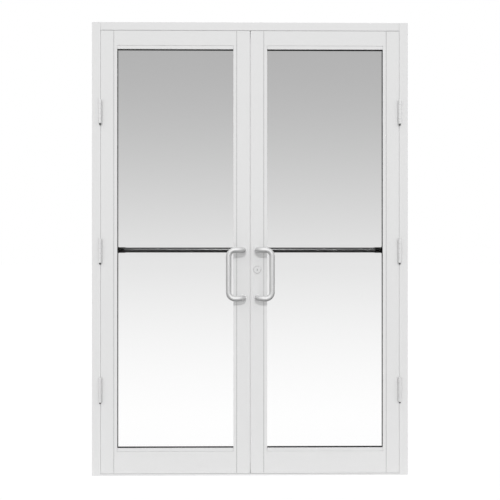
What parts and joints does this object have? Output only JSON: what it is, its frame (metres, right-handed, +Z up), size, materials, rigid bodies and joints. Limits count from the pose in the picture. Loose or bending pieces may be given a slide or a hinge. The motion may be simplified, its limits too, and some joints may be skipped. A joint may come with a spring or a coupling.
{
  "type": "glazed double door in its frame",
  "caption": "Aluminium framed pair of glazed entrance leaves on butt hinges in a tubular frame, with offset pulls, push bars, a deadlock and flush bolts.",
  "frame": {"origin": "on the floor line under the threshold, at mid width and mid depth of the frame", "axes": "+X along the width to the right seen from outside, -Y towards the outside, +Z up"},
  "size_m": [1.524, 0.1849, 2.1844],
  "materials": {
    "paint": "pale powder coat",
    "mill": "mill finish",
    "glass": "clear float",
    "rubber": "matt black",
    "seal": "matt grey",
    "pile": "pale pile",
    "hinge": "satin",
    "satin": "satin",
    "dark": "dark anodised"
  },
  "bodies": {
    "frame": {"left_jamb": "paint", "right_jamb": "paint", "header": "paint", "header_clips": "mill", "threshold": "paint", "left_door_stop": "paint", "right_door_stop": "paint", "head_door_stop": "paint", "left_frame_seal": "seal", "right_frame_seal": "seal", "head_frame_seal": "seal", "left_hinge_frame_plates": "hinge", "right_hinge_frame_plates": "hinge", "left_hinge_pins": "hinge", "right_hinge_pins": "hinge"},
    "left_leaf": {"left_hinge_stile": "paint", "left_meeting_stile": "paint", "left_top_rail": "paint", "left_bottom_rail": "paint", "left_corner_blocks": "mill", "left_glass": "glass", "left_setting_blocks": "rubber", "left_front_stops": "paint", "left_rear_stops": "paint", "left_front_gaskets": "rubber", "left_rear_gaskets": "rubber", "left_meeting_seal": "pile", "left_hinge_door_plates": "hinge", "left_pull": "satin", "left_pull_bolts": "satin", "left_push_bar": "dark", "left_push_bar_brackets": "dark", "top_flush_bolt_housing": "satin", "bottom_flush_bolt_housing": "satin"},
    "right_leaf": {"right_hinge_stile": "paint", "right_meeting_stile": "paint", "right_top_rail": "paint", "right_bottom_rail": "paint", "right_corner_blocks": "mill", "right_glass": "glass", "right_setting_blocks": "rubber", "right_front_stops": "paint", "right_rear_stops": "paint", "right_front_gaskets": "rubber", "right_rear_gaskets": "rubber", "right_meeting_seal": "pile", "right_hinge_door_plates": "hinge", "right_pull": "satin", "right_pull_bolts": "satin", "right_push_bar": "dark", "right_push_bar_brackets": "dark", "lock_case": "mill", "lock_faceplate": "satin", "lock_cylinder": "satin", "thumb_turn_rose": "satin"},
    "lock_spindle": {"key_plug": "satin", "thumb_turn": "satin"},
    "lock_bolt": {"lock_bolt": "satin"},
    "top_flush_bolt": {"top_flush_bolt": "satin"},
    "bottom_flush_bolt": {"bottom_flush_bolt": "satin"}
  },
  "joints": [
    {"name": "left_leaf_swing", "type": "hinge", "parent": "frame", "child": "left_leaf", "pos_m": [-0.7202, -0.06595, 1], "axis": [0, 0, -1], "range_deg": [0, 110]},
    {"name": "right_leaf_swing", "type": "hinge", "parent": "frame", "child": "right_leaf", "pos_m": [0.7202, -0.06595, 1], "axis": [0, 0, 1], "range_deg": [0, 110]},
    {"name": "lock_turn", "type": "hinge", "parent": "right_leaf", "child": "lock_spindle", "pos_m": [0.0335, -0.03492, 0.99199], "axis": [0, 1, 0], "range_deg": [0, 90]},
    {"name": "lock_bolt_throw", "type": "slide", "parent": "right_leaf", "child": "lock_bolt", "axis": [-1, 0, 0], "range_m": [0, 0.016]},
    {"name": "top_flush_bolt_slide", "type": "slide", "parent": "left_leaf", "child": "top_flush_bolt", "axis": [0, 0, 1], "range_m": [0, 0.019]},
    {"name": "bottom_flush_bolt_slide", "type": "slide", "parent": "left_leaf", "child": "bottom_flush_bolt", "axis": [0, 0, -1], "range_m": [0, 0.011]}
  ],
  "couplings": [
    {"joint": "lock_turn", "follows": "lock_bolt_throw", "rad_per_m": 98.175}
  ]
}
